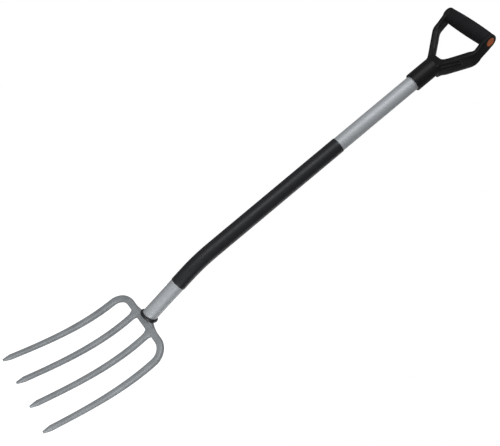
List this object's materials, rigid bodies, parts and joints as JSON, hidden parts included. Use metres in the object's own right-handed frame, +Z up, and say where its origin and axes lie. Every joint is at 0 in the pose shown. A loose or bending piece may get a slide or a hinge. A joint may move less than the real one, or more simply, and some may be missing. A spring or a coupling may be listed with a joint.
{
  "type": "digging fork",
  "caption": "Long-handled digging fork with flat-section curved tines, a cranked steel tube and a plastic D handle with a soft grip.",
  "frame": {"origin": "on the axis of the straight upper tube, at the middle of its bare stretch, where a tool-rack clip holds the fork", "axes": "+Z up the tube towards the D handle, -Y the front, the side the tines curve to, +X the right-hand side seen from the front"},
  "size_m": [0.202, 0.0904, 1.1524],
  "materials": {
    "head_steel": "satin mid-grey lacquer over forged steel",
    "weld_steel": "the same grey lacquer over weld beads",
    "tube_steel": "smooth silver-grey powder coat on steel tube",
    "sleeve_plastic": "matte black plastic sleeve",
    "collar_plastic": "glossy black plastic ring",
    "plug_plastic": "natural plastic dowel, hidden in the tube",
    "yoke_plastic": "black moulded plastic with a fine grain",
    "grip_rubber": "soft black overmould",
    "cap_plastic": "orange plastic end cap",
    "screw_steel": "zinc-plated screw"
  },
  "bodies": {
    "root": {"outer_tine_bow": "head_steel", "inner_tine_left": "head_steel", "inner_tine_right": "head_steel", "inner_tine_welds": "weld_steel", "head_neck": "head_steel", "neck_welds": "weld_steel", "collar_ring": "collar_plastic", "shaft_tube": "tube_steel", "shaft_sleeve": "sleeve_plastic", "tube_plug": "plug_plastic", "handle_yoke": "yoke_plastic", "grip_sleeve": "grip_rubber", "end_cap_left": "cap_plastic", "end_cap_right": "cap_plastic", "handle_screw": "screw_steel"}
  },
  "joints": []
}
